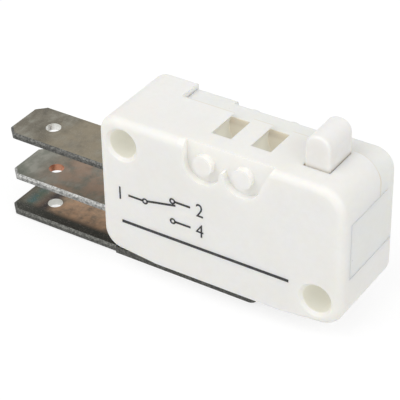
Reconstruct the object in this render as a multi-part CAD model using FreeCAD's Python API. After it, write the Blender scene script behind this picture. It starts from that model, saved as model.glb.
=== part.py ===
import FreeCAD, Part
import math
import os

# A changeover micro switch: a two-piece moulded housing with a plunger on top and three push-on tabs
# at one end. Inside, a pivoted contact arm and a tension spring snap between two fixed contacts.
# Sizes are in millimetres. The origin is on the axis of the lower mounting hole, half way through the
# switch. +X runs from the tabs to the plunger end, +Y from the front face to the cover, and +Z up.

# Housing, outside
body_length = 27.8
body_height = 15.9
body_depth = 10.3
hole_inset = 2.8
hole_diameter = 3.1
hole_mouth = 0.35
corner_upper_left = 2.0
corner_upper_right = 2.8
corner_lower_right = 2.5
corner_lower_left = 2.3
soft_edge = 0.8
soft_run_out = 4.0
sharp_edge = 0.04
rear_edge = 0.4

# Housing, walls and the parting line between case and cover
side_wall = 1.57
end_wall = 1.6
floor_wall = 1.5
top_band = 4.2
block_side = 5.35
rail_depth = 3.08
rail_drop = 0.63
rail_corner = 2.15
seam_gap = 0.05
clear_of_body = 1.0

# Lever sockets: two round-bottomed pockets with a pivot boss each, and two openings in the top
pocket_depth = 0.8
pocket_radius = 2.1
pocket_flare = 25.0
pocket_from_top = 2.1
socket_from_left = 12.2
socket_pitch = 4.45
boss_radius = 1.05
boss_height = 0.75
opening_width = 2.2
opening_past_pivot = 1.55
opening_front_wall = 2.9
opening_floor = 3.6
opening_bulge_radius = 2.4
opening_bulge_depth = 1.65

# Plunger
plunger_width = 2.75
plunger_from_right = 4.475
plunger_free_height = 3.5
plunger_crown = 1.32
plunger_edge = 0.3
plunger_travel = 2.2
guide_gap = 0.1
cover_gap = 0.15
collar_margin = 0.7
collar_thickness = 0.8
collar_side_gap = 0.4
stem_width = 2.45
stem_depth = 2.4
stem_length = 1.9

# Push-on tabs
tab_width = 6.3
tab_thickness = 0.8
tab_hole_diameter = 1.65
tab_hole_from_tip = 4.1
tab_corner = 1.1
tab_bevel = 0.22
tab_reach = 13.8
common_tab_reach = 14.3
closed_tab_level = 5.15
open_tab_level = 0.0
common_tab_level = -4.7
slot_gap = 0.05

# Inner ends of the two fixed terminals and their contact rivets
contact_from_left = 7.0
blade_width = 5.2
blade_nose = 1.8
blade_corner = 1.2
contact_radius = 1.6
contact_height = 0.75
contact_dome = 0.12
shank_radius = 0.8
rivet_tail_radius = 1.15
rivet_tail_height = 0.3

# Common terminal: the strip below the housing turns up into a forked post
post_from_right = 10.3
post_side_gap = 0.58
post_top = 4.3
post_window = 3.2
bend_radius = 0.5
notch_depth = 0.45
notch_half_height = 0.45

# Contact arm
arm_thickness = 0.4
arm_width = 5.2
arm_tip_width = 3.6
arm_leg_gap = 2.9
arm_window_from_contact = 4.8
arm_tip_past_contact = 1.9
arm_edge_gap = 0.05
arm_edge_bevel = 0.4
arm_tip_corner = 1.0
moving_contact_height = 0.77
moving_contact_crown = 0.2
moving_contact_radius = 1.5
open_contact_gap = 0.03
tongue_width = 1.2
tongue_length = 0.9
tongue_corner = 0.3
tongue_hole_radius = 0.25

# Trip lever and its pin
lever_pin_from_post = 3.2
lever_pin_level = 0.3
lever_pin_diameter = 1.0
lever_pin_seat = 0.75
lever_pin_end_gap = 0.05
lever_running_gap = 0.05
lever_eye_radius = 1.05
lever_eye_width = 3.4
lever_beam = 1.3
lever_riser = 1.35
lever_nose = 2.0
lever_clearance = 0.3
lever_play = 0.05
lever_shoulder = 0.6
lever_pad_width = 0.95
lever_pad_slope = 0.7
lever_corner = 0.3
lever_pad_corner = 0.4
lever_nose_corner = 0.12
lever_elbow_corner = 0.6
lever_web = 1.2
lever_head_width = 2.8
lever_side_gap = 0.1
pin_boss_radius = 1.25
spring_hole_radius = 0.28
spring_hole_fraction = 0.2
spring_seat_radius = 0.85
spring_seat_web = 0.5

# Tension spring
spring_wire = 0.26
spring_sides = 8
spring_mean_radius = 0.75
spring_turns = 8
spring_ring_radius = 0.45
spring_ring_open = 60.0
spring_neck_bend = 0.2
spring_bend = 0.25
spring_neck = 0.1

# Places that follow from the sizes
right = hole_inset
left = right - body_length
underside = -hole_inset
top = underside + body_height
front = -body_depth / 2
back = body_depth / 2
inner_front = front + side_wall
inner_back = back - side_wall
inner_left = left + end_wall
inner_right = right - end_wall
inner_floor = underside + floor_wall
roof = top - top_band
seam = back - rail_depth
upper_block_right = left + block_side
upper_block_bottom = top - block_side
lower_block_left = right - block_side
lower_block_top = underside + block_side
plunger_x = right - plunger_from_right
plunger_back = seam - cover_gap
plunger_front = inner_front + collar_side_gap + collar_margin
plunger_y = (plunger_front + plunger_back) / 2
stem_foot = roof - collar_thickness - stem_length
contact_x = left + contact_from_left
closed_face = closed_tab_level - tab_thickness / 2 - contact_height
arm_level = closed_face - open_contact_gap - moving_contact_height - arm_thickness / 2
post_right = right - post_from_right
post_left = post_right - tab_thickness
post_half_width = inner_back - post_side_gap
arm_pivot_x = post_left + notch_depth - arm_edge_gap
lever_pin_x = post_left - lever_pin_from_post
spring_from_x = contact_x + arm_window_from_contact + tongue_length - 2 * tongue_hole_radius
lever_turn = plunger_travel / (plunger_x - lever_pin_x)


def vec(x, y, z):
    return FreeCAD.Vector(x, y, z)


def block(x0, x1, y0, y1, z0, z1):
    """A square-cornered block from its low corner to its high corner."""
    return Part.makeBox(x1 - x0, y1 - y0, z1 - z0, vec(x0, y0, z0))


def bar(x, z, radius, y0, y1):
    """A round bar along Y."""
    return Part.makeCylinder(radius, y1 - y0, vec(x, y0, z), vec(0, 1, 0))


def rounded_wire(corners):
    """A closed outline through corners of (point, radius), each corner turned into an arc."""
    edges = []
    ends = []
    for index, (here, radius) in enumerate(corners):
        before = corners[index - 1][0]
        after = corners[(index + 1) % len(corners)][0]
        to_before = (before - here).normalize()
        to_after = (after - here).normalize()
        half = to_before.getAngle(to_after) / 2
        reach = radius / math.tan(half)
        inward = (to_before + to_after).normalize() if radius else vec(0, 0, 0)
        middle = here + inward * (radius / math.sin(half) - radius)
        ends.append((here + to_before * reach, middle, here + to_after * reach))
    for index, (start, middle, end) in enumerate(ends):
        if corners[index][1]:
            edges.append(Part.Arc(start, middle, end).toShape())
        next_start = ends[(index + 1) % len(ends)][0]
        if end.distanceToPoint(next_start) > 1e-6:
            edges.append(Part.LineSegment(end, next_start).toShape())
    return Part.Wire(edges)


def side_prism(corners, y0, y1):
    """An outline of (x, z, radius) corners, seen from the front, made solid from y0 to y1."""
    wire = rounded_wire([(vec(x, y0, z), radius) for x, z, radius in corners])
    return Part.Face(wire).extrude(vec(0, y1 - y0, 0))


def plan_prism(corners, z0, z1):
    """An outline of (x, y, radius) corners, seen from above, made solid from z0 to z1."""
    wire = rounded_wire([(vec(x, y, z0), radius) for x, y, radius in corners])
    return Part.Face(wire).extrude(vec(0, 0, z1 - z0))


def edges_where(shape, test):
    """The edges whose bounding box passes the test."""
    return [edge for edge in shape.Edges if test(edge.BoundBox)]


def body_outline(height_cut, upper_right_corner):
    """The housing's outline from the front, with its top lowered by height_cut."""
    high = top - height_cut
    return [
        (left, underside, corner_lower_left),
        (right, underside, corner_lower_right),
        (right, high, upper_right_corner),
        (left, high, corner_upper_left),
    ]


def rim_section(place, outward, radius):
    """The waste outside a rounded edge: outward and -Y are the two ways out of the corner at place."""
    forward = vec(0, -1, 0)
    high = place - forward * radius
    low = place - outward * radius
    middle = place - (forward + outward) * (radius * (1 - math.sqrt(0.5)))
    far_high = high + outward * clear_of_body
    far_low = low + forward * clear_of_body
    far = place + (forward + outward) * clear_of_body
    edges = [
        Part.Arc(high, middle, low).toShape(),
        Part.LineSegment(low, far_low).toShape(),
        Part.LineSegment(far_low, far).toShape(),
        Part.LineSegment(far, far_high).toShape(),
        Part.LineSegment(far_high, high).toShape(),
    ]
    return Part.Wire(edges)


def soft_front_rim():
    """What the soft edge takes off the front face: round the sides and top, running out below."""
    down, up = vec(0, 0, -1), vec(0, 0, 1)
    leftward, rightward = vec(-1, 0, 0), vec(1, 0, 0)
    walk = [
        (vec(left, front, underside), corner_lower_left, down, leftward),
        (vec(left, front, top), corner_upper_left, leftward, up),
        (vec(right, front, top), corner_upper_right, up, rightward),
        (vec(right, front, underside), corner_lower_right, rightward, down),
    ]
    waste = []
    for index, (corner, radius, normal_in, normal_out) in enumerate(walk):
        centre = corner - (normal_in + normal_out) * radius
        section = Part.Face(rim_section(centre + normal_in * radius, normal_in, soft_edge))
        waste.append(section.revolve(centre, vec(0, 1, 0), 90))
        if index < len(walk) - 1:
            next_corner, next_radius, _, heading = walk[index + 1]
            end = centre + normal_out * radius
            run = (next_corner - end).dot(heading) - next_radius
            section = Part.Face(rim_section(end, normal_out, soft_edge))
            waste.append(section.extrude(heading * run))
    for x, away in ((left + corner_lower_left, rightward), (right - corner_lower_right, leftward)):
        near = vec(x, front, underside)
        wide = rim_section(near, down, soft_edge)
        narrow = rim_section(near + away * soft_run_out, down, sharp_edge)
        waste.append(Part.makeLoft([wide, narrow], True, True))
    return waste


def rear_rounded(shape):
    """The shape with the rim of its rear face rounded."""
    rim = edges_where(shape, lambda box: box.YMin > back - 1e-6)
    return shape.makeFillet(rear_edge, rim)


def corner_blocks(gap):
    """The two full-depth blocks of the case that hold the mounting holes, grown by gap."""
    rear = back + clear_of_body
    outer_left, outer_top = left - clear_of_body, top + clear_of_body
    outer_right, outer_low = right + clear_of_body, underside - clear_of_body
    upper = block(outer_left, upper_block_right + gap, front, rear, upper_block_bottom - gap, outer_top)
    lower = block(lower_block_left - gap, outer_right, front, rear, outer_low, lower_block_top + gap)
    return upper.fuse(lower)


def cover_room(gap):
    """The room that the cover takes up: rear plate, top rail and the tongue that closes the right end."""
    plate = block(left, right, inner_back + gap, back, underside, top)
    rail = block(left, right, seam + gap, back, roof, top)
    tongue = block(inner_right, right, inner_front + gap, back, lower_block_top, roof - gap)
    return plate.fuse([rail, tongue]).cut(corner_blocks(gap))


def mounting_hole(x, z):
    """A mounting hole right through the switch, with both mouths eased."""
    radius = hole_diameter / 2
    hole = bar(x, z, radius, front, back)
    near = Part.makeCone(radius + hole_mouth, radius, hole_mouth, vec(x, front, z), vec(0, 1, 0))
    far = Part.makeCone(radius + hole_mouth, radius, hole_mouth, vec(x, back, z), vec(0, -1, 0))
    return hole.fuse([near, far])


def lever_pockets(face, inward):
    """Two U-shaped pockets that run together and open at the top, each round a pivot boss."""
    y0, y1 = sorted((face, face + inward * pocket_depth))
    level = top - pocket_from_top
    pivots = [left + socket_from_left + index * socket_pitch for index in (0, 1)]
    flare = math.radians(pocket_flare)
    touch_x = pivots[1] + pocket_radius * math.cos(flare)
    touch_z = level - pocket_radius * math.sin(flare)
    rim = top + clear_of_body
    upper = side_prism([
        (pivots[0] - pocket_radius, level, 0),
        (pivots[1], level, 0),
        (touch_x, touch_z, 0),
        (touch_x + (rim - touch_z) * math.tan(flare), rim, 0),
        (pivots[0] - pocket_radius, rim, 0),
    ], y0, y1)
    rounds = [bar(x, level, pocket_radius, y0, y1) for x in pivots]
    b0, b1 = sorted((face + inward * pocket_depth, face + inward * (pocket_depth - boss_height)))
    bosses = [bar(x, level, boss_radius, b0, b1) for x in pivots]
    return upper.fuse(rounds).cut(bosses[0].fuse(bosses[1]))


def top_opening(index):
    """One of the two openings in the top; its left wall is hollowed to an arc."""
    x1 = left + socket_from_left + index * socket_pitch + opening_past_pivot
    x0 = x1 - opening_width
    y0 = front + opening_front_wall
    half_chord = opening_bulge_depth
    centre_x = x0 + math.sqrt(opening_bulge_radius ** 2 - half_chord ** 2)
    disc = bar(centre_x, top - opening_bulge_depth, opening_bulge_radius, y0, inner_back)
    hollow = disc.common(block(x0 - opening_bulge_radius, x1, y0, inner_back, top - opening_floor, top))
    return block(x0, x1, y0, inner_back, top - opening_floor, top).fuse(hollow)


def terminal_slots():
    """The slots for the three terminals, each open to the rear face."""
    half = tab_thickness / 2 + slot_gap
    side = tab_width / 2 + slot_gap
    slots = [
        block(left, inner_left, -side, back, level - half, level + half)
        for level in (closed_tab_level, open_tab_level)
    ]
    slots.append(block(
        post_left - slot_gap, post_right + slot_gap,
        -post_half_width - slot_gap, back, underside, inner_floor,
    ))
    return slots


def slot_keys():
    """The cover's three keys, which close the slots behind the terminals."""
    gap = slot_gap - seam_gap
    half = tab_thickness / 2 + gap
    side = tab_width / 2 + slot_gap
    keys = [
        block(left, inner_left, side, back, level - half, level + half)
        for level in (closed_tab_level, open_tab_level)
    ]
    keys.append(block(
        post_left - gap, post_right + gap,
        post_half_width + slot_gap, back, underside, inner_floor,
    ))
    return keys


def make_case():
    """The front shell: side wall, top band, floor, left end wall and the two full-depth blocks."""
    shell = rear_rounded(side_prism(body_outline(0, corner_upper_right), front, back))
    for piece in soft_front_rim():
        shell = shell.cut(piece)
    cavity = block(inner_left, inner_right, inner_front, inner_back, inner_floor, roof)
    near_eye = -lever_eye_width / 2 - lever_side_gap
    boss = bar(lever_pin_x, lever_pin_level, pin_boss_radius, inner_front, near_eye)
    hollow = cavity.cut(corner_blocks(0)).cut(boss).fuse(cover_room(0))
    shell = shell.cut(hollow)
    guide = block(
        plunger_x - plunger_width / 2 - guide_gap, plunger_x + plunger_width / 2 + guide_gap,
        plunger_front - guide_gap, seam, roof, top,
    )
    pin_seat = bar(lever_pin_x, lever_pin_level, lever_pin_diameter / 2, inner_front - lever_pin_seat, 0)
    cuts = [
        mounting_hole(0, 0),
        mounting_hole(left + hole_inset, top - hole_inset),
        lever_pockets(front, 1),
        top_opening(0),
        top_opening(1),
        guide,
        pin_seat,
    ]
    for cut in cuts + terminal_slots():
        shell = shell.cut(cut)
    return shell


def make_cover():
    """The rear shell: a plate with a lower top rail, an end tongue, slot keys and a pin boss."""
    outline = side_prism(body_outline(rail_drop, rail_corner), front, back)
    near_eye = lever_eye_width / 2 + lever_side_gap
    boss = bar(lever_pin_x, lever_pin_level, pin_boss_radius, near_eye, inner_back + seam_gap)
    room = cover_room(seam_gap).cut(terminal_slots()).fuse(slot_keys() + [boss])
    shell = rear_rounded(outline).common(room)
    pin_seat = bar(lever_pin_x, lever_pin_level, lever_pin_diameter / 2, 0, inner_back + lever_pin_seat)
    return shell.cut(pin_seat).cut(lever_pockets(back, -1)).removeSplitter()


def make_plunger():
    """The plunger: a crowned button on a straight body, with a collar that stops it and a short foot."""
    x0 = plunger_x - plunger_width / 2
    x1 = plunger_x + plunger_width / 2
    high = top + plunger_free_height
    button = side_prism([
        (x0, roof - collar_thickness, 0),
        (x1, roof - collar_thickness, 0),
        (x1, high, plunger_crown),
        (x0, high, plunger_crown),
    ], plunger_front, plunger_back)
    ends = edges_where(button, lambda box: box.YLength < 1e-6 and box.ZMax > roof)
    button = button.makeFillet(plunger_edge, ends)
    collar = block(
        x0 - collar_margin, x1 + collar_margin,
        plunger_front - collar_margin, plunger_back + collar_margin,
        roof - collar_thickness, roof,
    )
    foot = block(
        plunger_x - stem_width / 2, plunger_x + stem_width / 2,
        plunger_y - stem_depth / 2, plunger_y + stem_depth / 2, stem_foot, roof,
    )
    return button.fuse([collar, foot]).removeSplitter()


def push_on_tab(tip, end, level):
    """A flat push-on tab from its tip to end: chamfered corners, bevelled rim and a round hole."""
    half = tab_width / 2
    tab = plan_prism([
        (tip, -half + tab_corner, 0),
        (tip + tab_corner, -half, 0),
        (end, -half, 0),
        (end, half, 0),
        (tip + tab_corner, half, 0),
        (tip, half - tab_corner, 0),
    ], level - tab_thickness / 2, level + tab_thickness / 2)
    rim = edges_where(tab, lambda box: box.ZLength < 1e-6 and box.XMin < end - 1e-6)
    tab = tab.makeChamfer(tab_bevel, rim)
    return tab.cut(tab_hole(tip, level))


def tab_hole(tip, level):
    """The round hole near the tip of a tab."""
    place = vec(tip + tab_hole_from_tip, 0, level - tab_thickness / 2)
    return Part.makeCylinder(tab_hole_diameter / 2, tab_thickness, place)


def make_fixed_terminal(level):
    """A straight terminal: the tab outside, and inside a narrower blade with a hole for its contact."""
    low = level - tab_thickness / 2
    tab = push_on_tab(left - tab_reach, inner_left, level)
    half = blade_width / 2
    nose = contact_x + blade_nose
    blade = plan_prism([
        (inner_left, -half, 0),
        (nose, -half, blade_corner),
        (nose, half, blade_corner),
        (inner_left, half, 0),
    ], low, low + tab_thickness)
    hole = Part.makeCylinder(shank_radius, tab_thickness, vec(contact_x, 0, low))
    return tab.fuse(blade).cut(hole).removeSplitter()


def make_common_terminal():
    """The common terminal: a tab, a strip under the housing and a forked post bent up from it."""
    low = common_tab_level - tab_thickness / 2
    high = common_tab_level + tab_thickness / 2
    narrow = high + bend_radius
    tab = push_on_tab(left - common_tab_reach, left, common_tab_level)
    outline = [
        (left, low, 0),
        (post_right, low, bend_radius + tab_thickness),
        (post_right, post_top, 0),
        (post_left, post_top, 0),
        (post_left, high, bend_radius),
        (left, high, 0),
    ]
    strip = side_prism(outline, -tab_width / 2, tab_width / 2)
    strip = strip.common(block(left, post_right, -tab_width / 2, tab_width / 2, low, narrow))
    post = side_prism(outline, -post_half_width, post_half_width)
    post = post.common(block(post_left, post_right, -post_half_width, post_half_width, narrow, post_top))
    window = block(post_left, post_right, -post_window / 2, post_window / 2, inner_floor, post_top)
    notch = side_prism([
        (post_left, arm_level - notch_half_height, 0),
        (post_left + notch_depth, arm_level, 0),
        (post_left, arm_level + notch_half_height, 0),
    ], -post_half_width, post_half_width)
    return tab.fuse([strip, post.cut(window).cut(notch)]).removeSplitter()


def turned(profile):
    """A rivet turned about the upright line through the contacts, from points (radius, z)."""
    points = [vec(contact_x + radius, 0, z) for radius, z in profile]
    outline = Part.makePolygon(points + points[:1])
    return Part.Face(outline).revolve(vec(contact_x, 0, 0), vec(0, 0, 1), 360)


def make_fixed_contact(level, side):
    """A contact rivet: a flat-topped head on one side of the terminal, shank and upset tail."""
    face = level + side * tab_thickness / 2
    back_face = level - side * tab_thickness / 2
    return turned([
        (0, face + side * contact_height),
        (contact_radius - contact_dome, face + side * contact_height),
        (contact_radius, face + side * (contact_height - contact_dome)),
        (contact_radius, face),
        (shank_radius, face),
        (shank_radius, back_face),
        (rivet_tail_radius, back_face),
        (rivet_tail_radius - contact_dome, back_face - side * rivet_tail_height),
        (0, back_face - side * rivet_tail_height),
    ])


def make_moving_contact():
    """The moving contact: one rivet through the arm, with a crowned contact face on each side."""
    half = arm_thickness / 2
    rim = half + moving_contact_height - moving_contact_crown
    rivet = turned([
        (0, arm_level - rim),
        (moving_contact_radius, arm_level - rim),
        (moving_contact_radius, arm_level - half),
        (shank_radius, arm_level - half),
        (shank_radius, arm_level + half),
        (moving_contact_radius, arm_level + half),
        (moving_contact_radius, arm_level + rim),
        (0, arm_level + rim),
    ])
    for side in (-1, 1):
        edge = vec(contact_x + moving_contact_radius, 0, arm_level + side * rim)
        peak = vec(contact_x, 0, arm_level + side * (rim + moving_contact_crown))
        far = vec(contact_x - moving_contact_radius, 0, arm_level + side * rim)
        arc = Part.Arc(edge, peak, far).toShape()
        half_arc = arc.common(block(contact_x, right, front, back, underside, top)).Edges[0]
        middle = vec(contact_x, 0, arm_level + side * rim)
        outline = Part.Wire([half_arc, Part.makeLine(peak, middle), Part.makeLine(middle, edge)])
        crown = Part.Face(outline).revolve(middle, vec(0, 0, 1), 360)
        rivet = rivet.fuse(crown)
    return rivet.removeSplitter()


def make_contact_arm():
    """The contact arm: a stamped fork whose two knife edges sit in the notches of the post."""
    half = arm_width / 2
    tip = arm_tip_width / 2
    gap = arm_leg_gap / 2
    start = contact_x - arm_tip_past_contact
    shoulder = contact_x + arm_tip_past_contact
    window = contact_x + arm_window_from_contact
    arm = plan_prism([
        (start, -tip, arm_tip_corner),
        (shoulder, -tip, 0),
        (window, -half, 0),
        (arm_pivot_x, -half, 0),
        (arm_pivot_x, -gap, 0),
        (window, -gap, 0),
        (window, -tongue_width / 2, 0),
        (window + tongue_length, -tongue_width / 2, tongue_corner),
        (window + tongue_length, tongue_width / 2, tongue_corner),
        (window, tongue_width / 2, 0),
        (window, gap, 0),
        (arm_pivot_x, gap, 0),
        (arm_pivot_x, half, 0),
        (window, half, 0),
        (shoulder, tip, 0),
        (start, tip, arm_tip_corner),
    ], arm_level - arm_thickness / 2, arm_level + arm_thickness / 2)
    for side in (-1, 1):
        arm = arm.cut(side_prism([
            (arm_pivot_x, arm_level, 0),
            (arm_pivot_x, arm_level + side * arm_thickness / 2, 0),
            (arm_pivot_x - arm_edge_bevel, arm_level + side * arm_thickness / 2, 0),
        ], -half, half))
    low = arm_level - arm_thickness / 2
    arm = arm.cut(Part.makeCylinder(shank_radius, arm_thickness, vec(contact_x, 0, low)))
    return arm.cut(Part.makeCylinder(tongue_hole_radius, arm_thickness, vec(spring_from_x, 0, low)))


def lever_point(x, z):
    """Where a point of the fully pressed trip lever lies before the plunger is pressed."""
    dx, dz = x - lever_pin_x, z - lever_pin_level
    return (
        lever_pin_x + dx * math.cos(lever_turn) - dz * math.sin(lever_turn),
        lever_pin_level + dz * math.cos(lever_turn) + dx * math.sin(lever_turn),
    )


def make_trip_lever():
    """The trip lever: an eye on its pin, a beam through the forked post and a head under the plunger."""
    low_left = (lever_pin_x, lever_pin_level - lever_beam / 2, 0)
    elbow = lever_point(lower_block_left - lever_clearance, inner_floor + lever_clearance)
    armpit = lever_point(lower_block_left - lever_clearance, lower_block_top + lever_clearance)
    nose = lever_point(plunger_x + lever_nose, lower_block_top + lever_clearance)
    high = stem_foot - lever_play
    shoulder = stem_foot - lever_shoulder
    head = [
        (armpit[0], armpit[1], lever_corner),
        (nose[0], nose[1], lever_nose_corner),
        (nose[0], (high + nose[1]) / 2, lever_nose_corner),
        (plunger_x + lever_pad_width / 2, high, lever_pad_corner),
        (plunger_x - lever_pad_width / 2, high, lever_pad_corner),
        (plunger_x - lever_pad_width / 2 - lever_pad_slope, shoulder, lever_corner),
        (armpit[0] - lever_riser, shoulder, lever_corner),
    ]
    beam = [
        (elbow[0] - lever_riser, elbow[1] + lever_beam, lever_elbow_corner),
        (lever_pin_x, lever_pin_level + lever_beam / 2, 0),
        low_left,
        (elbow[0], elbow[1], lever_elbow_corner),
    ]
    web = side_prism(head + beam, -lever_web / 2, lever_web / 2)
    wide = side_prism(head, -lever_head_width / 2, lever_head_width / 2)
    eye = bar(lever_pin_x, lever_pin_level, lever_eye_radius, -lever_eye_width / 2, lever_eye_width / 2)
    lever = web.fuse([wide, eye])
    bore = bar(
        lever_pin_x, lever_pin_level, lever_pin_diameter / 2 + lever_running_gap,
        -lever_eye_width / 2, lever_eye_width / 2,
    )
    x, z = spring_end()
    hook_hole = bar(x, z, spring_hole_radius, -lever_web / 2, lever_web / 2)
    lever = lever.cut(bore).cut(hook_hole)
    for y0, y1 in ((-lever_web / 2, -spring_seat_web / 2), (spring_seat_web / 2, lever_web / 2)):
        lever = lever.cut(bar(x, z, spring_seat_radius, y0, y1))
    return lever.removeSplitter()


def spring_end():
    """The middle of the spring's hole in the riser of the trip lever."""
    elbow = lever_point(lower_block_left - lever_clearance, inner_floor + lever_clearance)
    armpit = lever_point(lower_block_left - lever_clearance, lower_block_top + lever_clearance)
    x = armpit[0] + (elbow[0] - armpit[0]) * spring_hole_fraction - lever_riser / 2
    z = armpit[1] + (elbow[1] - armpit[1]) * spring_hole_fraction
    return x, z


def make_lever_pin():
    """The steel pin that carries the trip lever between the case and the cover."""
    return bar(
        lever_pin_x, lever_pin_level, lever_pin_diameter / 2,
        inner_front - lever_pin_seat + lever_pin_end_gap,
        inner_back + lever_pin_seat - lever_pin_end_gap,
    )


def bent_wire(place, heading, across, moves):
    """The lengths of a bent wire. A move is a straight length, or (centre, angle) of a bend."""
    corners = [
        place + FreeCAD.Rotation(heading, index * 360 / spring_sides).multVec(across)
        for index in range(spring_sides)
    ]
    face = Part.Face(Part.makePolygon(corners + corners[:1]))
    lengths = []
    for move in moves:
        if isinstance(move, tuple):
            centre, angle = move
            axis = heading.cross(centre - place).normalize()
            spin = FreeCAD.Rotation(axis, angle)
            lengths.append(face.revolve(centre, axis, angle))
            face = face.rotated(centre, axis, angle)
            place = centre + spin.multVec(place - centre)
            heading = spin.multVec(heading)
        else:
            lengths.append(face.extrude(heading * move))
            face = face.translated(heading * move)
            place = place + heading * move
    return lengths


def make_tension_spring():
    """The tension spring: a coil with a ring at each end, from the arm's tongue to the trip lever.

    It is one wire along X, of arcs that run into each other: ring, bend, neck, bend, leg, bend, then the
    coil as half circles that each lean over by half a turn's pitch, and the same again in reverse.
    """
    end_x, end_z = spring_end()
    run, rise = end_x - spring_from_x, end_z - arm_level
    length = math.hypot(run, rise)
    ring_to_neck = math.sqrt((spring_ring_radius + spring_neck_bend) ** 2 - spring_neck_bend ** 2)
    ring_meets = math.atan2(spring_neck_bend, ring_to_neck)
    neck_turn = 90 - math.degrees(ring_meets)
    neck_x = spring_ring_radius + ring_to_neck
    coil_x = neck_x + spring_neck + spring_bend
    leg_low = math.sqrt((spring_mean_radius - spring_bend) ** 2 - spring_bend ** 2)
    leg = leg_low - spring_bend
    coil_turn_in = 180 - math.degrees(math.acos(spring_bend / (spring_mean_radius - spring_bend)))
    lean = (length - 2 * coil_x) / spring_turns / 2
    ring_turn = 360 - spring_ring_open
    ring_start = math.radians(ring_turn) + ring_meets
    ring_centre = vec(spring_ring_radius, 0, 0)
    outward = vec(math.cos(ring_start), 0, math.sin(ring_start))
    heading = vec(outward.z, 0, -outward.x)
    moves = [
        (ring_centre, ring_turn),
        (vec(neck_x, 0, spring_neck_bend), neck_turn),
        spring_neck,
        (vec(coil_x - spring_bend, 0, -spring_bend), 90),
        leg,
        (vec(coil_x, spring_bend, -leg_low), coil_turn_in),
    ]
    for index in range(2 * spring_turns):
        moves.append((vec(coil_x + (index + 0.5) * lean, 0, 0), 180))
    leg_way = math.radians(90 - 2 * (coil_turn_in - 90))
    off_axis = vec(0, math.cos(leg_way), -math.sin(leg_way)) * spring_bend
    moves += [
        (vec(length - coil_x, spring_bend, -leg_low), coil_turn_in),
        leg,
        (vec(length - coil_x + spring_bend, 0, 0) + off_axis, 90),
        spring_neck,
        (vec(length - neck_x, spring_neck_bend, 0), neck_turn),
        (vec(length - spring_ring_radius, 0, 0), ring_turn),
    ]
    start = ring_centre + outward * spring_ring_radius
    lengths = bent_wire(start, heading, vec(0, spring_wire / 2, 0), moves)
    spring = lengths[0].fuse(lengths[1:]).removeSplitter()
    spring.rotate(vec(0, 0, 0), vec(0, 1, 0), -math.degrees(math.atan2(rise, run)))
    spring.translate(vec(spring_from_x, 0, arm_level))
    return spring


def main():
    nodes = {
        "case": make_case(),
        "cover": make_cover(),
        "plunger": make_plunger(),
        "normally_closed_terminal": make_fixed_terminal(closed_tab_level),
        "normally_open_terminal": make_fixed_terminal(open_tab_level),
        "common_terminal": make_common_terminal(),
        "normally_closed_contact": make_fixed_contact(closed_tab_level, -1),
        "normally_open_contact": make_fixed_contact(open_tab_level, 1),
        "moving_contact": make_moving_contact(),
        "contact_arm": make_contact_arm(),
        "trip_lever": make_trip_lever(),
        "lever_pin": make_lever_pin(),
        "tension_spring": make_tension_spring(),
    }
    os.makedirs("parts", exist_ok=True)
    for name, shape in nodes.items():
        print(name, shape.isValid(), len(shape.Solids), round(shape.Volume, 3))
        shape.exportStep("parts/" + name + ".step")


main()
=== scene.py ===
import math

import bpy
import numpy as np
from mathutils import Matrix, Vector


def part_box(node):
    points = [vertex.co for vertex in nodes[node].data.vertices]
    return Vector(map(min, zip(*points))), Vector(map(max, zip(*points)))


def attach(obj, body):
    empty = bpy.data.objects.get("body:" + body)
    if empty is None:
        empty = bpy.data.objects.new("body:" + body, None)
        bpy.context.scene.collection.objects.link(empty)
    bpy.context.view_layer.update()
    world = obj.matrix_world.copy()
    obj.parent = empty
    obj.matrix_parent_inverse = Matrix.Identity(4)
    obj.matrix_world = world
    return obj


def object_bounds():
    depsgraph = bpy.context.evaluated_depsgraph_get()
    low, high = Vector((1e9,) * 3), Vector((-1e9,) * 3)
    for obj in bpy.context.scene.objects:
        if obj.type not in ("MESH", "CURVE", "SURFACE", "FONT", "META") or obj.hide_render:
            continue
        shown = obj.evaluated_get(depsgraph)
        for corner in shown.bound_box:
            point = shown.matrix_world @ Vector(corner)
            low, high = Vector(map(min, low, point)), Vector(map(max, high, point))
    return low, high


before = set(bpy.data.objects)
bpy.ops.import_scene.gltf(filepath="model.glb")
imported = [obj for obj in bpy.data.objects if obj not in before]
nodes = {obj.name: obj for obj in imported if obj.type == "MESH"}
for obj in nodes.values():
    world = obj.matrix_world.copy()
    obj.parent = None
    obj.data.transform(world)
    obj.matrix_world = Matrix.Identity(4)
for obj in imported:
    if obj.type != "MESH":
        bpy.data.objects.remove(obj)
cad_low, cad_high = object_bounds()
mm = 0.001

# Case: the front shell of the housing, injection moulded in an off-white thermoplastic with a fine satin
# skin. It lets a little light through, which a weak light of its own in holes, gaps and pockets stands in for.
# The walls, both mounting-hole blocks, the lever sockets and the plunger's guide are one moulding.


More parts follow.
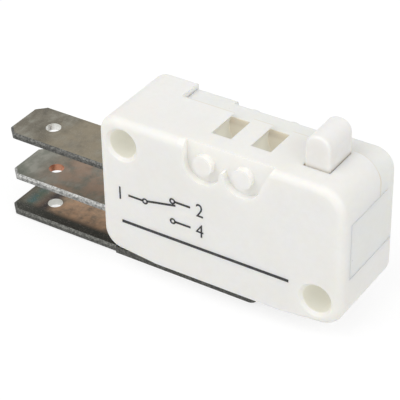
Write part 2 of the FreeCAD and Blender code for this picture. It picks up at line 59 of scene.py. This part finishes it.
class Finish:
    """A material built from nodes: one Principled shader, fed by patterns in Object coordinates."""

    def __init__(self, name):
        self.material = bpy.data.materials.new(name)
        self.material.use_nodes = True
        self.tree = self.material.node_tree
        self.shader = self.tree.nodes["Principled BSDF"]
        place = self.tree.nodes.new("ShaderNodeTexCoord")
        self.place, self.facing = place.outputs["Object"], place.outputs["Normal"]
        self.x, self.y, self.z = self.split(self.place)

    def node(self, kind, values=None, **settings):
        """A new node with its settings, and its inputs set to a number or colour or joined to an output."""
        made = self.tree.nodes.new("ShaderNode" + kind)
        for key, value in settings.items():
            setattr(made, key, value)
        for key, value in (values or {}).items():
            self.feed(made.inputs[key], value)
        return made

    def feed(self, socket, value):
        """Joins an output to a socket, or sets the socket's own value."""
        if isinstance(value, bpy.types.NodeSocket):
            self.tree.links.new(value, socket)
        elif socket.type == "RGBA":
            socket.default_value = (*value, 1) if len(value) == 3 else value
        else:
            socket.default_value = value

    def split(self, vector):
        """The three parts of a vector."""
        return self.node("SeparateXYZ", {"Vector": vector}).outputs[:3]

    def sum(self, kind, *values):
        """One step of arithmetic, named as Blender names it."""
        return self.node("Math", dict(enumerate(values)), operation=kind).outputs[0]

    def within(self, value, start, end):
        """Rises smoothly from 0 at start to 1 at end, or falls if end is the lower."""
        ease = {"Value": value, "From Min": start, "From Max": end}
        return self.node("MapRange", ease, interpolation_type="SMOOTHSTEP").outputs[0]

    def cloud(self, size, detail=3.0, roughness=0.55, stretch=(1, 1, 1), shift=0.0):
        """Noise from 0 to 1 whose blotches are about size metres across, longer where stretch is larger."""
        scale = [1 / (size * s) for s in stretch]
        vector = self.node("Mapping", {"Vector": self.place, "Location": (shift,) * 3, "Scale": scale})
        values = {"Vector": vector.outputs[0], "Scale": 1.0, "Detail": detail, "Roughness": roughness}
        return self.node("TexNoise", values).outputs[0]

    def specks(self, spacing, radius, share):
        """1 in small round dots of that radius, one at random in a share of the cells spacing across."""
        cells = self.node("TexVoronoi", {"Vector": self.place, "Scale": 1 / spacing})
        chosen = self.within(self.node("SeparateColor", {"Color": cells.outputs["Color"]}).outputs[0],
                             share, share * 0.98)
        dot = self.within(cells.outputs["Distance"], radius / spacing, radius / spacing * 0.6)
        return self.sum("MULTIPLY", dot, chosen)

    def blend(self, share, first, second):
        """Goes from the first colour to the second as share goes from 0 to 1."""
        mixed = self.node("Mix", data_type="RGBA")
        self.feed(mixed.inputs["Factor"], share)
        self.feed(mixed.inputs[6], first)
        self.feed(mixed.inputs[7], second)
        return mixed.outputs[2]

    def zone(self, low, high, softness):
        """1 in a box from low to high and 0 outside it, with soft sides."""
        share = 1.0
        for value, start, end in zip((self.x, self.y, self.z), low, high):
            middle, half = (start + end) / 2, (end - start) / 2
            off = self.sum("ABSOLUTE", self.sum("SUBTRACT", value, middle))
            share = self.sum("MULTIPLY", share, self.within(off, half, half - softness))
        return share

    def near_line(self, x, z, radius, softness):
        """1 inside a radius of a line that runs front to back through (x, z), with a soft edge."""
        offsets = {"X": self.sum("SUBTRACT", self.x, x), "Z": self.sum("SUBTRACT", self.z, z)}
        across = self.node("CombineXYZ", offsets)
        away = self.node("VectorMath", {0: across.outputs[0]}, operation="LENGTH").outputs["Value"]
        return self.within(away, radius + softness, radius - softness)

    def rough(self, height, depth):
        """Turns a pattern from 0 to 1 into bumps depth metres high."""
        made = self.node("Bump", {"Height": height, "Distance": depth, "Strength": 1.0})
        self.feed(self.shader.inputs["Normal"], made.outputs[0])

    def satin(self, pattern, low, high):
        """Makes the roughness go from low to high with a pattern from 0 to 1."""
        made = self.node("MapRange", {"Value": pattern, "To Min": low, "To Max": high})
        self.feed(self.shader.inputs["Roughness"], made.outputs[0])

    def put_on(self, *names):
        """Gives the material to CAD nodes."""
        for name in names:
            slots = nodes[name].data.materials
            slots.clear()
            slots.append(self.material)


case_low, case_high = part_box("case")
button_low, button_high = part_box("plunger")
hole_reach = 1.58 * mm
lower_hole, upper_hole = (0, 0), (-22.2 * mm, 10.3 * mm)
rail_top = case_high.z - 0.63 * mm
opening_start = (-15.4 * mm, case_low.y + 2.88 * mm, 9.2 * mm)
opening_end = (-6.7 * mm, 2.5 * mm, rail_top)
pocket_start = (-15.6 * mm, case_low.y + 0.08 * mm, 8.4 * mm)
pocket_end = (-4.9 * mm, case_low.y + 1.7 * mm, case_high.z - 0.01 * mm)
parting, seam_shade_reach = 2.095 * mm, 0.14 * mm
block_side, roof, rim = -19.6 * mm, 8.9 * mm, 0.1 * mm
guide_floor, guide_margin = 9.0 * mm, 0.2 * mm
off_white, yellowed, inner_glow = (0.845, 0.84, 0.82), (0.83, 0.82, 0.785), (0.77, 0.755, 0.665)
speck_brown, seam_shade_brown = (0.32, 0.29, 0.25), (0.56, 0.49, 0.38)


def moulded(name, fresh, aged):
    """Satin moulded plastic: fresh to aged clouds, painted shade and glow in holes and gaps, specks."""
    plastic = Finish(name)
    broad = plastic.within(plastic.cloud(7 * mm, detail=2.0), 0.35, 0.7)
    colour = plastic.blend(broad, fresh, aged)
    mottle = plastic.within(plastic.cloud(0.6 * mm, detail=4.0, shift=3.1), 0.3, 0.75)
    darker = tuple(0.975 * c for c in aged)
    colour = plastic.blend(plastic.sum("MULTIPLY", mottle, 0.45), colour, darker)
    # Painted shade: the mounting holes and the deep part of the top openings are coloured a darker olive, and
    # they also get a weak light.
    in_hole = plastic.sum(
        "MAXIMUM",
        plastic.near_line(*lower_hole, hole_reach, 0.02 * mm),
        plastic.near_line(*upper_hole, hole_reach, 0.02 * mm),
    )
    in_opening = plastic.zone(opening_start, opening_end, 0.02 * mm)
    deep = plastic.within(plastic.z, rail_top - 0.05 * mm, rail_top - 1.2 * mm)
    inside = plastic.sum("MAXIMUM", in_hole, plastic.sum("MULTIPLY", in_opening, deep))
    colour = plastic.blend(inside, colour, tuple(0.58 * c for c in inner_glow))
    # Painted shade: a brown line along the parting seam between case and cover, where the gap lies in shade.
    seam_start = (block_side, parting - seam_shade_reach, roof)
    seam_end = (case_high.x + rim, parting + seam_shade_reach, case_high.z + rim)
    on_line = plastic.zone(seam_start, seam_end, 0.08 * mm)
    not_rear = plastic.within(plastic.split(plastic.facing)[1], 0.9, 0.5)
    seam_shade_share = plastic.sum("MULTIPLY", plastic.sum("MULTIPLY", on_line, not_rear), 0.8)
    colour = plastic.blend(seam_shade_share, colour, seam_shade_brown)
    guide_start = (button_low.x - guide_margin, button_low.y - guide_margin, guide_floor)
    guide_end = (button_high.x + guide_margin, button_high.y + guide_margin, case_high.z - 0.7 * mm)
    in_guide = plastic.zone(guide_start, guide_end, 0.01 * mm)
    in_pocket = plastic.zone(pocket_start, pocket_end, 0.01 * mm)
    fading = {"Value": plastic.y, "From Min": 1.0 * mm, "From Max": 4.0 * mm, "To Min": 0.42, "To Max": 0.1}
    light = plastic.sum("MULTIPLY", inside, plastic.node("MapRange", fading).outputs[0])
    for place, level in ((on_line, 0.16), (in_guide, 0.24), (in_pocket, 0.05)):
        light = plastic.sum("MAXIMUM", light, plastic.sum("MULTIPLY", place, level))
    plastic.feed(plastic.shader.inputs["Emission Color"], inner_glow)
    plastic.feed(plastic.shader.inputs["Emission Strength"], light)
    dots = plastic.specks(2.6 * mm, 0.07 * mm, 0.3)
    colour = plastic.blend(plastic.sum("MULTIPLY", dots, 0.55), colour, speck_brown)
    plastic.feed(plastic.shader.inputs["Base Color"], colour)
    plastic.satin(plastic.cloud(1.4 * mm, detail=3.0, shift=7.7), 0.40, 0.56)
    shader = plastic.shader.inputs
    shader["Subsurface Weight"].default_value = 0.6
    shader["Subsurface Radius"].default_value = (1.0, 0.85, 0.6)
    shader["Subsurface Scale"].default_value = 1.0 * mm
    shader["IOR"].default_value = 1.49
    grain = plastic.cloud(0.09 * mm, detail=2.0, shift=1.7)
    waves = plastic.cloud(2.5 * mm, detail=1.0, shift=5.3)
    plastic.rough(plastic.sum("ADD", grain, plastic.sum("MULTIPLY", waves, 6.0)), 0.004 * mm)
    return plastic


moulded("case_plastic", off_white, yellowed).put_on("case")

# Cover: the rear shell, moulded in the same plastic from another shot, a touch greyer and greener. It closes
# the case from behind; its top rail and the tongue at the right end show beside the case along a fine seam.

cover_white, cover_grey = (0.82, 0.825, 0.80), (0.80, 0.80, 0.765)
moulded("cover_plastic", cover_white, cover_grey).put_on("cover")

# Plunger: a small button moulded in acetal, a shade warmer than the housing. It slides in its guide in the
# top of the case. Its crown is painted paler as a highlight, and its foot a darker brown as painted shade.

crown_start, crown_top, foot_top = case_high.z + 2.2 * mm, case_high.z + 3.5 * mm, case_high.z + 0.45 * mm
acetal_white, acetal_warm = (0.83, 0.82, 0.80), (0.80, 0.785, 0.755)
crown_highlight, foot_shade = (0.86, 0.855, 0.84), (0.68, 0.63, 0.55)
acetal = Finish("plunger_acetal")
skin = acetal.within(acetal.cloud(1.6 * mm, detail=3.0), 0.35, 0.7)
button = acetal.blend(skin, acetal_white, acetal_warm)
# Painted highlight: the plunger grows paler towards its crown.
crown_highlight_share = acetal.within(acetal.z, crown_start, crown_top)
button = acetal.blend(acetal.sum("MULTIPLY", crown_highlight_share, 0.6), button, crown_highlight)
# Painted shade: the plunger's foot is coloured a darker brown where it enters its guide.
foot = acetal.within(acetal.z, foot_top, case_high.z)
button = acetal.blend(acetal.sum("MULTIPLY", foot, 0.6), button, foot_shade)
acetal.feed(acetal.shader.inputs["Base Color"], button)
acetal.satin(acetal.cloud(0.8 * mm, shift=2.2), 0.33, 0.5)
acetal.shader.inputs["Subsurface Weight"].default_value = 0.4
acetal.shader.inputs["Subsurface Radius"].default_value = (1.0, 0.85, 0.65)
acetal.shader.inputs["Subsurface Scale"].default_value = 0.6 * mm
acetal.rough(acetal.cloud(0.12 * mm, detail=2.0), 0.003 * mm)
acetal.put_on("plunger")

# Terminals: three push-on tabs stamped from brass strip and tin plated. The plating has tarnished to olive,
# brown and copper tones with a heat-blued patch on the lowest; the sheared edges show grey or bright metal.

hole_at, lower_hole_at, hole_half = -34.7 * mm, -35.2 * mm, 0.95 * mm
lower_face, blue_at, purple_at = -4.3 * mm, -37.6 * mm, -35.8 * mm
teal, green, purple = (0.045, 0.125, 0.13), (0.075, 0.115, 0.085), (0.05, 0.042, 0.043)
soot, pale_pit = (0.045, 0.045, 0.037), (0.42, 0.40, 0.35)


def tarnished(name, ground, stain, warm, warm_from, shine, edge, hole_x, hole_wall, heated=False):
    """Tarnished tin plate: drifts of ground and stain, dull and shiny mottling, a warm patch, bare edges."""
    metal = Finish(name)
    drift = metal.within(metal.cloud(3.2 * mm, detail=5.0, roughness=0.6, stretch=(1.6, 1, 1)), 0.38, 0.66)
    colour = metal.blend(drift, ground, stain)
    mottle = metal.cloud(1.7 * mm, detail=5.0, roughness=0.62, stretch=(1, 1.7, 1), shift=5.2)
    dull = metal.within(mottle, 0.52, 0.3)
    colour = metal.blend(metal.sum("MULTIPLY", dull, 0.6), colour, tuple(0.5 * c for c in ground))
    bright = metal.within(mottle, 0.48, 0.68)
    colour = metal.blend(metal.sum("MULTIPLY", bright, 0.7), colour, shine)
    along = metal.within(metal.x, warm_from - 3.0 * mm, warm_from + 2.0 * mm)
    patch = metal.within(metal.cloud(2.6 * mm, detail=6.0, roughness=0.66, shift=4.4), 0.3, 0.6)
    colour = metal.blend(metal.sum("MULTIPLY", metal.sum("MULTIPLY", along, patch), 0.85), colour, warm)
    if heated:
        tone = metal.within(metal.cloud(1.0 * mm, detail=3.0, shift=9.0), 0.4, 0.65)
        blued = metal.blend(tone, teal, green)
        colour = metal.blend(metal.near_line(blue_at, lower_face, 0.45 * mm, 0.9 * mm), colour, blued)
        colour = metal.blend(metal.near_line(purple_at, lower_face, 0.7 * mm, 0.8 * mm), colour, purple)
        colour = metal.blend(metal.within(metal.y, -1.0 * mm, -2.1 * mm), colour, soot)
    pits = metal.within(metal.cloud(0.14 * mm, detail=3.0, roughness=0.7, shift=6.1), 0.54, 0.68)
    colour = metal.blend(metal.sum("MULTIPLY", pits, 0.3), colour, pale_pit)
    upright = metal.split(metal.facing)[2]
    on_edge = metal.within(metal.sum("ABSOLUTE", upright), 0.9, 0.75)
    scuff = metal.within(metal.cloud(0.22 * mm, detail=4.0, roughness=0.7, shift=2.8), 0.42, 0.6)
    edges = metal.blend(scuff, tuple(0.45 * c for c in edge), edge)
    colour = metal.blend(on_edge, colour, edges)
    hole_low, hole_high = (hole_x - hole_half, -hole_half, -10 * mm), (hole_x + hole_half, hole_half, 10 * mm)
    in_hole = metal.zone(hole_low, hole_high, 0.05 * mm)
    colour = metal.blend(metal.sum("MULTIPLY", in_hole, on_edge), colour, hole_wall)
    metal.feed(metal.shader.inputs["Base Color"], colour)
    metal.shader.inputs["Metallic"].default_value = 0.9
    metal.satin(metal.cloud(0.7 * mm, detail=4.0, shift=8.8), 0.34, 0.62)
    metal.rough(metal.cloud(0.16 * mm, detail=4.0, roughness=0.7, shift=6.1), 0.006 * mm)
    return metal


tarnished(
    "upper_tab_tin",
    ground=(0.175, 0.16, 0.125), stain=(0.215, 0.195, 0.155), warm=(0.285, 0.245, 0.175), warm_from=-33.5 * mm,
    shine=(0.30, 0.295, 0.25), edge=(0.15, 0.15, 0.14), hole_x=hole_at, hole_wall=(0.85, 0.85, 0.82),
).put_on("normally_closed_terminal")
tarnished(
    "middle_tab_tin",
    ground=(0.19, 0.20, 0.165), stain=(0.235, 0.235, 0.20), warm=(0.37, 0.26, 0.19), warm_from=-34.5 * mm,
    shine=(0.36, 0.355, 0.31), edge=(0.43, 0.43, 0.415), hole_x=hole_at, hole_wall=(0.66, 0.34, 0.22),
).put_on("normally_open_terminal")
tarnished(
    "lower_tab_tin",
    ground=(0.115, 0.105, 0.085), stain=(0.15, 0.135, 0.10), warm=(0.56, 0.36, 0.225), warm_from=-36.0 * mm,
    shine=(0.30, 0.25, 0.18), edge=(0.15, 0.15, 0.138), hole_x=lower_hole_at, hole_wall=(0.75, 0.75, 0.72),
    heated=True,
).put_on("common_terminal")

# Contacts: small rivets of silver alloy, two fixed in the terminals and one through the arm, with a face on
# each side. They are turned bright, and the faces that meet are dulled grey by the arc.

turned_silver, burnt_silver = (0.80, 0.79, 0.76), (0.52, 0.50, 0.47)
silver = Finish("contact_silver")
arc_marks = silver.within(silver.cloud(0.35 * mm, detail=4.0), 0.45, 0.62)
silver.feed(silver.shader.inputs["Base Color"], silver.blend(arc_marks, turned_silver, burnt_silver))
silver.shader.inputs["Metallic"].default_value = 1.0
silver.satin(arc_marks, 0.22, 0.5)
silver.rough(silver.cloud(0.1 * mm, detail=3.0), 0.003 * mm)
silver.put_on("normally_closed_contact", "normally_open_contact", "moving_contact")

# Contact arm: a fork stamped from bare copper alloy strip, rolled lengthways. It rocks on two knife edges in
# the notches of the common terminal's post.

bright_copper, dull_copper, copper_stain = (0.72, 0.44, 0.26), (0.64, 0.38, 0.22), (0.45, 0.27, 0.17)
copper = Finish("arm_copper")
rolled = copper.within(copper.cloud(0.12 * mm, detail=3.0, stretch=(14, 1, 1)), 0.3, 0.7)
stained = copper.within(copper.cloud(2.0 * mm, detail=4.0), 0.45, 0.7)
strip = copper.blend(rolled, bright_copper, dull_copper)
copper.feed(copper.shader.inputs["Base Color"], copper.blend(stained, strip, copper_stain))
copper.shader.inputs["Metallic"].default_value = 1.0
copper.satin(stained, 0.27, 0.45)
copper.rough(rolled, 0.002 * mm)
copper.put_on("contact_arm")

# Trip lever: moulded in black acetal with a low satin skin. It turns on the steel pin, runs through the forked
# post and holds the far end of the spring.

deep_black, pale_black = (0.022, 0.022, 0.024), (0.04, 0.04, 0.042)
black = Finish("lever_acetal")
clouds = black.within(black.cloud(1.5 * mm, detail=3.0), 0.35, 0.7)
black.feed(black.shader.inputs["Base Color"], black.blend(clouds, deep_black, pale_black))
black.satin(black.cloud(0.5 * mm, shift=3.3), 0.36, 0.55)
black.rough(black.cloud(0.1 * mm, detail=2.0), 0.003 * mm)
black.put_on("trip_lever")

# Lever pin and tension spring: bright spring steel wire, the pin cut from straight wire and the spring coiled
# with a ring at each end. The wire has fine drawing marks, and the surface is a little oily.

clean_wire, oily_wire = (0.60, 0.60, 0.60), (0.50, 0.50, 0.51)
steel = Finish("spring_steel")
drawn = steel.within(steel.cloud(0.08 * mm, detail=3.0, stretch=(1, 8, 1)), 0.35, 0.65)
steel.feed(steel.shader.inputs["Base Color"], steel.blend(drawn, clean_wire, oily_wire))
steel.shader.inputs["Metallic"].default_value = 1.0
steel.satin(drawn, 0.2, 0.36)
steel.rough(drawn, 0.001 * mm)
steel.put_on("lever_pin", "tension_spring")

# Print: black pad-printed ink on the front face. It is generic: a long rule, the symbol of a changeover
# contact and the numbers of its three terminals. The ink film stands a hundredth of a millimetre proud.

ink_front = case_low.y - 0.010 * mm
ink_back = case_low.y + 0.010 * mm
line_width = 0.24 * mm
ring_points = 40
capital_share, letter_width = 0.7, 0.86
print_points, print_faces = [], []


def add_ink(points, faces):
    """Adds one closed shape to the print, its faces counted on from the points already there."""
    start = sum(len(p) for p in print_points)
    print_points.append(np.asarray(points, float))
    print_faces.extend([[int(i) + start for i in face] for face in faces])


def stroke(path, width, closed=False):
    """A line of ink: a rectangle carried along a flat path of (x, z), square to its mean direction there."""
    path = np.asarray(path, float)
    ahead = np.roll(path, -1, 0) - path
    behind = path - np.roll(path, 1, 0)
    if not closed:
        ahead[-1], behind[0] = behind[-1], ahead[0]
    ahead /= np.linalg.norm(ahead, axis=1)[:, None]
    behind /= np.linalg.norm(behind, axis=1)[:, None]
    way = (ahead + behind) / np.linalg.norm(ahead + behind, axis=1)[:, None]
    reach = width / 2 / np.einsum("ij,ij->i", way, ahead)
    side = np.stack([-way[:, 1], way[:, 0]], 1) * reach[:, None]
    left, right = path + side, path - side
    count = len(path)
    points = np.empty((count, 4, 3))
    corners = [(left, ink_front), (left, ink_back), (right, ink_back), (right, ink_front)]
    for slot, (flat, y) in enumerate(corners):
        points[:, slot, 0], points[:, slot, 1], points[:, slot, 2] = flat[:, 0], y, flat[:, 1]
    index = np.arange(count * 4).reshape(count, 4)
    here = index if closed else index[:-1]
    there = np.roll(index, -1, 0) if closed else index[1:]
    sides = ((0, 1), (1, 2), (2, 3), (3, 0))
    faces = [np.stack([here[:, a], there[:, a], there[:, b], here[:, b]], 1) for a, b in sides]
    faces = list(np.concatenate(faces))
    if not closed:
        faces += [index[0], index[-1][::-1]]
    add_ink(points.reshape(-1, 3), faces)


def ring(x, z, radius, width):
    """A ring of ink: points evenly round a circle, closed on themselves."""
    turn = np.linspace(0, 2 * math.pi, ring_points, endpoint=False)
    stroke(np.stack([x + radius * np.cos(turn), z + radius * np.sin(turn)], 1), width, closed=True)


def numeral(text, x, z, height):
    """A plain number standing on z with its left side at x, from the program's own letters."""
    curve = bpy.data.curves.new("numeral", "FONT")
    curve.body = text
    curve.size = height / capital_share
    curve.extrude = 0.5
    curve.resolution_u = 6
    holder = bpy.data.objects.new("numeral", curve)
    bpy.context.scene.collection.objects.link(holder)
    bpy.context.view_layer.update()
    flat = bpy.data.meshes.new_from_object(holder.evaluated_get(bpy.context.evaluated_depsgraph_get()))
    points = np.array([v.co for v in flat.vertices], float)
    middle, half = (ink_front + ink_back) / 2, (ink_back - ink_front) / 2
    deep = middle - points[:, 2] / curve.extrude * half
    placed = np.stack([x + points[:, 0] * letter_width, deep, z + points[:, 1]], 1)
    add_ink(placed, [list(p.vertices) for p in flat.polygons])
    bpy.data.objects.remove(holder)


rule_level, rule_start, rule_end, rule_width = 1.15 * mm, -22.5 * mm, -3.0 * mm, 0.34 * mm
stroke([(rule_start, rule_level), (rule_end, rule_level)], rule_width)
common_level, closed_level, open_level = 4.55 * mm, 5.75 * mm, 3.35 * mm
lead_start, pivot_at, contact_at, lead_end = -21.6 * mm, -19.6 * mm, -16.3 * mm, -14.2 * mm
contact_ring, ring_width = 0.26 * mm, line_width * 0.8
stroke([(lead_start, common_level), (pivot_at - contact_ring, common_level)], line_width)
ring(pivot_at, common_level, contact_ring, ring_width)
arm_start = (pivot_at + contact_ring, common_level + 0.1 * mm)
arm_end = (contact_at + 0.35 * mm, closed_level - 0.42 * mm)
stroke([arm_start, arm_end], line_width)
for level in (closed_level, open_level):
    ring(contact_at, level, contact_ring, ring_width)
    stroke([(contact_at + contact_ring, level), (lead_end, level)], line_width)
number_height, first_number, number_gap = 1.55 * mm, -23.1 * mm, 0.6 * mm
numeral("1", first_number, common_level - number_height / 2, number_height)
numeral("2", lead_end + number_gap, closed_level - number_height / 2, number_height)
numeral("4", lead_end + number_gap, open_level - number_height / 2, number_height)
print_mesh = bpy.data.meshes.new("front_print")
print_mesh.from_pydata(np.concatenate(print_points).tolist(), [], print_faces)
print_mesh.update()
front_print = bpy.data.objects.new("front_print", print_mesh)
bpy.context.scene.collection.objects.link(front_print)
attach(front_print, "housing")

full_ink, thin_ink = (0.016, 0.016, 0.017), (0.07, 0.07, 0.07)
ink = Finish("printing_ink")
thin = ink.within(ink.cloud(0.25 * mm, detail=4.0, roughness=0.65), 0.5, 0.75)
ink.feed(ink.shader.inputs["Base Color"], ink.blend(thin, full_ink, thin_ink))
ink.satin(ink.cloud(0.4 * mm, shift=1.1), 0.4, 0.6)
ink.rough(ink.cloud(0.1 * mm), 0.002 * mm)
print_mesh.materials.append(ink.material)

# Floor and surroundings: a plain pale floor that the common terminal's strip stands on, in even studio light
# from above, in front and the right. To the camera the floor and the room beyond it are white.

floor_mesh = bpy.data.meshes.new("floor")
reach = 1.5
floor_corners = ((-reach, -reach), (reach, -reach), (reach, reach), (-reach, reach))
floor_mesh.from_pydata([(x, y, cad_low.z) for x, y in floor_corners], [], [(0, 1, 2, 3)])
floor = bpy.data.objects.new("floor", floor_mesh)
bpy.context.scene.collection.objects.link(floor)


def seen(tree):
    """1 for rays that the camera sees straight, mirrored or through glass, 0 for light on the object."""
    path = tree.nodes.new("ShaderNodeLightPath")
    total = path.outputs["Is Camera Ray"]
    for name in ("Is Glossy Ray", "Is Transmission Ray"):
        most = tree.nodes.new("ShaderNodeMath")
        most.operation = "MAXIMUM"
        tree.links.new(total, most.inputs[0])
        tree.links.new(path.outputs[name], most.inputs[1])
        total = most.outputs[0]
    return total


paper_in_light, paper_seen, paper_glow = 0.80, 0.28, 0.76
paper = bpy.data.materials.new("floor_paper")
paper.use_nodes = True
tree = paper.node_tree
tree.nodes.clear()
lit = tree.nodes.new("ShaderNodeBsdfDiffuse")
lit.inputs["Color"].default_value = (*(paper_in_light,) * 3, 1)
pale = tree.nodes.new("ShaderNodeBsdfDiffuse")
pale.inputs["Color"].default_value = (*(paper_seen,) * 3, 1)
glow = tree.nodes.new("ShaderNodeEmission")
glow.inputs["Color"].default_value = (1, 1, 1, 1)
glow.inputs["Strength"].default_value = paper_glow
both = tree.nodes.new("ShaderNodeAddShader")
tree.links.new(pale.outputs[0], both.inputs[0])
tree.links.new(glow.outputs[0], both.inputs[1])
choose = tree.nodes.new("ShaderNodeMixShader")
tree.links.new(seen(tree), choose.inputs[0])
tree.links.new(lit.outputs[0], choose.inputs[1])
tree.links.new(both.outputs[0], choose.inputs[2])
out = tree.nodes.new("ShaderNodeOutputMaterial")
tree.links.new(choose.outputs[0], out.inputs["Surface"])
floor_mesh.materials.append(paper)

room_light, white = 0.625, 1.0
room = bpy.data.worlds.new("room")
bpy.context.scene.world = room
room.use_nodes = True
sky = room.node_tree
light = sky.nodes["Background"]
light.inputs["Color"].default_value = (1, 1, 1, 1)
strength = sky.nodes.new("ShaderNodeMapRange")
strength.inputs["To Min"].default_value = room_light
strength.inputs["To Max"].default_value = white
sky.links.new(seen(sky), strength.inputs["Value"])
sky.links.new(strength.outputs[0], light.inputs["Strength"])

middle = (cad_low + cad_high) / 2


def softbox(name, direction, distance, size, level):
    """A square lamp in that direction; level is the light it adds to a white surface that faces it."""
    lamp = bpy.data.lights.new(name, "AREA")
    lamp.size = size
    lamp.energy = level * (math.pi * distance) ** 2
    holder = bpy.data.objects.new(name, lamp)
    away = Vector(direction).normalized()
    aim = away.to_track_quat("Z", "Y").to_matrix().to_4x4()
    holder.matrix_world = Matrix.Translation(middle + away * distance) @ aim
    bpy.context.scene.collection.objects.link(holder)


softbox("front_softbox", (-0.25, -0.62, 0.85), 0.35, 0.30, 0.44)
softbox("right_softbox", (0.8, -0.25, 0.55), 0.40, 0.30, 0.25)

# Camera: above and to the right of the front face, at the photograph's angle and framing.

camera_turn, camera_height, camera_roll = math.radians(33.167), math.radians(34.545), math.radians(-1.006)
camera_distance = 174.41 * mm
looks_at = Vector((-16.394, 0, 2.835)) * mm
back_way = Vector((
    math.sin(camera_turn) * math.cos(camera_height),
    -math.cos(camera_turn) * math.cos(camera_height),
    math.sin(camera_height),
))
lens = bpy.data.cameras.new("camera")
lens.sensor_width = 36
lens.lens = 154.46
lens.clip_start, lens.clip_end = 0.01, 10
camera = bpy.data.objects.new("camera", lens)
turn = back_way.to_track_quat("Z", "Y").to_matrix().to_4x4() @ Matrix.Rotation(camera_roll, 4, "Z")
camera.matrix_world = Matrix.Translation(looks_at + back_way * camera_distance) @ turn
bpy.context.scene.collection.objects.link(camera)
bpy.context.scene.camera = camera
bpy.context.scene.view_settings.view_transform = "Standard"
